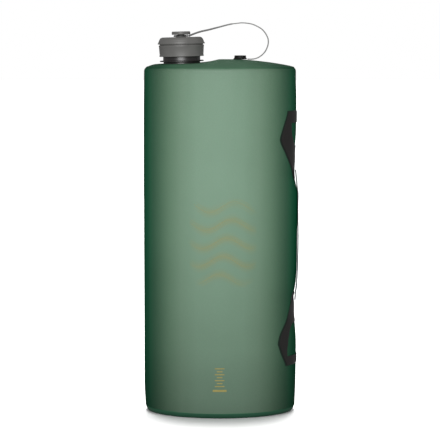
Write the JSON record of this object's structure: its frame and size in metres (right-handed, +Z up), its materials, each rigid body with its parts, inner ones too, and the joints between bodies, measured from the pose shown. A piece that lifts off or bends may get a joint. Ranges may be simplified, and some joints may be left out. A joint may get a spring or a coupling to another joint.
{
  "type": "folding water bottle",
  "caption": "Collapsible film water bottle with a threaded neck, screw cap, push-in plug, tether strap and a side carry handle.",
  "frame": {"origin": "centre of the flat base, on the ground", "axes": "+X to the handle side, -Y to the printed front, +Z up"},
  "size_m": [0.177, 0.094, 0.446],
  "materials": {
    "film": "satin translucent sage film",
    "neck": "smoky moulded plastic",
    "cap": "fine-textured moulded plastic",
    "port": "moulded plastic",
    "seal": "silicone",
    "tether": "flexible moulded strap",
    "handle": "matte black welded tab and strap"
  },
  "bodies": {
    "bottle": {"top_panel": "film", "bottom_panel": "film", "neck": "neck", "tether_anchor": "handle", "tether_strap": "tether", "upper_handle_tab": "handle", "lower_handle_tab": "handle", "handle_strap": "handle"},
    "front_film": {"front_panel": "film"},
    "back_film": {"back_panel": "film"},
    "tether_ring": {"tether_ring": "tether"},
    "cap": {"cap_shell": "cap", "cap_seal": "seal", "port_seat": "port"},
    "plug": {"plug": "cap", "plug_seal": "seal"}
  },
  "joints": [
    {"name": "front_press", "type": "slide", "parent": "bottle", "child": "front_film", "axis": [0, 1, 0], "range_m": [0, 0.02], "deforming": ["front_panel", "back_panel", "top_panel", "bottom_panel", "upper_handle_tab", "lower_handle_tab", "handle_strap"]},
    {"name": "back_press", "type": "slide", "parent": "bottle", "child": "back_film", "axis": [0, -1, 0], "range_m": [0, 0.02], "deforming": ["front_panel", "back_panel", "top_panel", "bottom_panel", "upper_handle_tab", "lower_handle_tab", "handle_strap"]},
    {"name": "cap_lift", "type": "slide", "parent": "bottle", "child": "tether_ring", "axis": [-0.0244, 0, 0.9997], "range_m": [0, 0.0201], "deforming": ["tether_strap"]},
    {"name": "cap_turn", "type": "hinge", "parent": "tether_ring", "child": "cap", "pos_m": [-0.0432, 0, 0.4], "axis": [-0.0244, 0, 0.9997], "range_deg": [0, 1440]},
    {"name": "plug_pull", "type": "slide", "parent": "cap", "child": "plug", "axis": [-0.0244, 0, 0.9997], "range_m": [0, 0.014]}
  ],
  "couplings": [
    {"joint": "back_press", "follows": "front_press", "ratio": 1},
    {"joint": "cap_lift", "follows": "cap_turn", "m_per_rad": 0.00079577}
  ]
}
